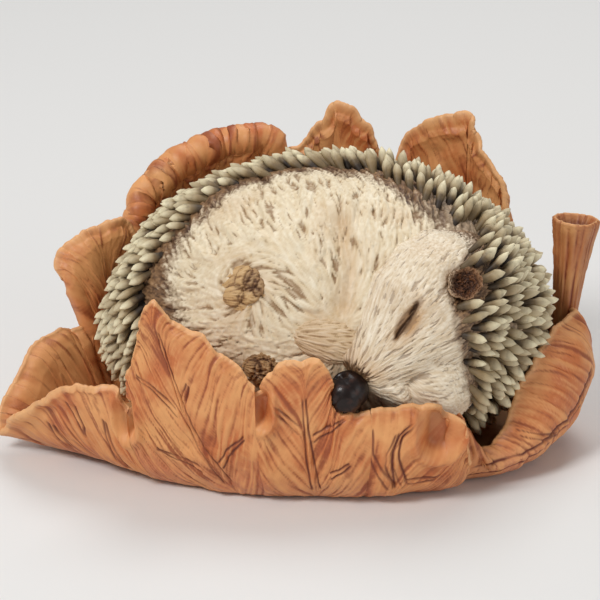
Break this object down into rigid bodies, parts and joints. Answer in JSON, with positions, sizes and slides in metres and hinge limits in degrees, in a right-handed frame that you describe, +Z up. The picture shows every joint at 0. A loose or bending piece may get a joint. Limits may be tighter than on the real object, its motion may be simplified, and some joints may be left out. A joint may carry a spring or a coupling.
{
  "type": "hedgehog figurine",
  "caption": "Cast figurine of a sleeping hedgehog curled on its back in a nest of dry leaves, with a flat underside to stand on.",
  "frame": {"origin": "centre of the flat underside that the nest rests on", "axes": "+X to the viewer's right along the nest's length, +Y away from the viewer, +Z up"},
  "size_m": [0.1204, 0.0752, 0.0608],
  "materials": {
    "leaf": "matt painted cast resin",
    "leaf_stalk": "matt painted cast resin",
    "fur": "matt painted cast resin",
    "dark_fur": "matt painted cast resin",
    "skin": "matt painted cast resin",
    "nose": "gloss lacquer on cast resin",
    "quills": "matt painted cast resin"
  },
  "bodies": {
    "root": {"leaf_bed": "leaf", "leaf_left": "leaf", "leaf_front_left": "leaf", "leaf_front_middle": "leaf", "leaf_front_right": "leaf", "leaf_right": "leaf", "leaf_back_right": "leaf", "leaf_back_middle": "leaf", "leaf_back_left": "leaf", "leaf_fan": "leaf", "leaf_stalk": "leaf_stalk", "belly": "fur", "head": "fur", "nose": "nose", "ear": "skin", "hind_foot": "skin", "lower_foot": "dark_fur", "front_paw": "fur", "quills_rump": "quills", "quills_back": "quills", "quills_shoulder": "quills", "quills_crown": "quills"}
  },
  "joints": []
}
